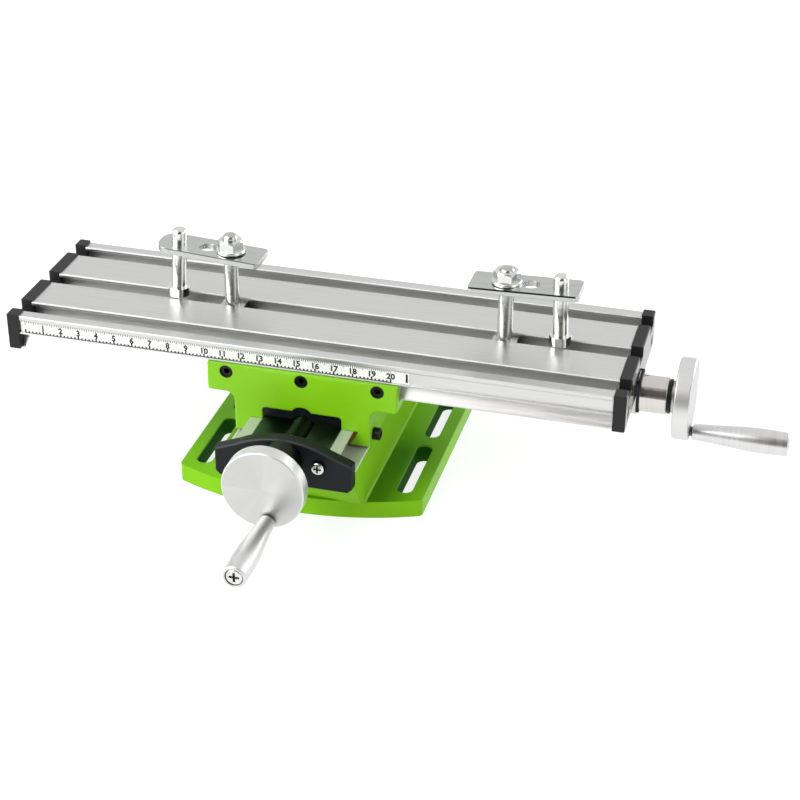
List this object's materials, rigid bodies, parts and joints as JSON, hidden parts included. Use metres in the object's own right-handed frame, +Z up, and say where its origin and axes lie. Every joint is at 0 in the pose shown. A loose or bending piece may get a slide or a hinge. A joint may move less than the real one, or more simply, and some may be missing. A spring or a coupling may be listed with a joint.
{
  "type": "compound cross slide table",
  "caption": "Compound X-Y cross slide table with T-slot top on a dovetailed saddle and slotted base, crank handwheels and strap clamps.",
  "frame": {"origin": "centre of the base's foot, on its underside", "axes": "+Z up, +X along the table towards the X handwheel, -Y towards the Y handwheel"},
  "size_m": [0.4083, 0.2374, 0.1196],
  "materials": {
    "green_casting": "satin lime green enamel on an aluminium casting",
    "black_bracket": "satin black enamel",
    "table_aluminium": "natural anodised extrusion",
    "turned_aluminium": "turned bright aluminium",
    "polished_steel": "polished",
    "screw_steel": "plain turned steel",
    "zinc_steel": "bright zinc plated",
    "black_steel": "black oxide",
    "black_plastic": "moulded, fine matt grain",
    "brass": "milled",
    "rule_foil": "white adhesive foil with printed graduations"
  },
  "bodies": {
    "base": {"base_casting": "green_casting", "y_bearing_bracket": "black_bracket", "bracket_screws": "zinc_steel", "y_bearing_sleeve": "black_steel"},
    "y_drive": {"y_lead_screw": "screw_steel", "y_dial_ring": "black_plastic", "y_handwheel": "turned_aluminium", "y_grub_screw": "black_steel", "y_handle_bolt": "zinc_steel"},
    "y_handle": {"y_crank_handle": "turned_aluminium"},
    "saddle": {"saddle_casting": "green_casting", "x_gib": "screw_steel", "x_gib_screws": "black_steel", "y_gib": "brass", "y_gib_screws": "black_steel", "dust_guard": "black_plastic", "y_nut_block": "brass", "y_nut_screws": "zinc_steel", "x_nut_block": "brass", "x_nut_screws": "zinc_steel"},
    "table": {"table_extrusion": "table_aluminium", "rule_strip": "rule_foil", "left_end_cap": "black_plastic", "right_end_cap": "black_plastic", "end_cap_screws": "black_steel", "left_bearing_block": "turned_aluminium", "right_bearing_block": "turned_aluminium", "bearing_block_screws": "zinc_steel", "x_flange_plate": "black_steel", "x_bearing_sleeve": "polished_steel"},
    "x_drive": {"x_lead_screw": "screw_steel", "x_dial_ring": "black_plastic", "x_handwheel": "turned_aluminium", "x_grub_screw": "black_steel", "x_handle_bolt": "zinc_steel"},
    "x_handle": {"x_crank_handle": "turned_aluminium"},
    "left_clamp": {"left_t_bolt": "zinc_steel"},
    "left_strap": {"left_strap": "zinc_steel"},
    "left_jack": {"left_jack_bolt": "zinc_steel"},
    "left_nut": {"left_clamp_nut": "zinc_steel"},
    "right_clamp": {"right_t_bolt": "zinc_steel"},
    "right_strap": {"right_strap": "zinc_steel"},
    "right_jack": {"right_jack_bolt": "zinc_steel"},
    "right_nut": {"right_clamp_nut": "zinc_steel"}
  },
  "joints": [
    {"name": "saddle_slide", "type": "slide", "parent": "base", "child": "saddle", "axis": [0, 1, 0], "range_m": [-0.025, 0.025]},
    {"name": "y_screw_turn", "type": "hinge", "parent": "base", "child": "y_drive", "pos_m": [0, -0.1048, 0.0395], "axis": [0, 1, 0], "range_deg": [-4500, 4500]},
    {"name": "y_handle_spin", "type": "hinge", "parent": "y_drive", "child": "y_handle", "pos_m": [0.00266, -0.14, 0.02271], "axis": [0, 1, 0], "continuous": true},
    {"name": "table_slide", "type": "slide", "parent": "saddle", "child": "table", "axis": [1, 0, 0], "range_m": [-0.1014, 0.0986]},
    {"name": "x_screw_turn", "type": "hinge", "parent": "table", "child": "x_drive", "pos_m": [0.1837, 0, 0.0578], "axis": [1, 0, 0], "range_deg": [-18252, 17748]},
    {"name": "x_handle_spin", "type": "hinge", "parent": "x_drive", "child": "x_handle", "pos_m": [0.22, -0.004, 0.04128], "axis": [1, 0, 0], "continuous": true},
    {"name": "left_clamp_slide", "type": "slide", "parent": "table", "child": "left_clamp", "axis": [1, 0, 0], "range_m": [-0.062, 0.05]},
    {"name": "left_strap_swing", "type": "hinge", "parent": "left_clamp", "child": "left_strap", "pos_m": [-0.0542, 0, 0.1063], "axis": [0, 0, 1], "range_deg": [-90, 90]},
    {"name": "left_jack_turn", "type": "hinge", "parent": "left_strap", "child": "left_jack", "pos_m": [-0.08305, 0, 0.10801], "axis": [0.0593, 0, 0.9982], "continuous": true},
    {"name": "left_nut_turn", "type": "hinge", "parent": "left_clamp", "child": "left_nut", "pos_m": [-0.0542, 0, 0.1123], "axis": [0, 0, 1], "continuous": true},
    {"name": "right_clamp_slide", "type": "slide", "parent": "table", "child": "right_clamp", "axis": [1, 0, 0], "range_m": [-0.05, 0.028]},
    {"name": "right_strap_swing", "type": "hinge", "parent": "right_clamp", "child": "right_strap", "pos_m": [0.0948, 0, 0.1082], "axis": [0, 0, 1], "range_deg": [-90, 90]},
    {"name": "right_jack_turn", "type": "hinge", "parent": "right_strap", "child": "right_jack", "pos_m": [0.12298, 0, 0.10913], "axis": [-0.0332, 0, 0.9995], "continuous": true},
    {"name": "right_nut_turn", "type": "hinge", "parent": "right_clamp", "child": "right_nut", "pos_m": [0.0948, 0, 0.1142], "axis": [0, 0, 1], "continuous": true}
  ],
  "couplings": [
    {"joint": "y_screw_turn", "follows": "saddle_slide", "rad_per_m": 3141.6},
    {"joint": "x_screw_turn", "follows": "table_slide", "rad_per_m": 3141.6}
  ]
}
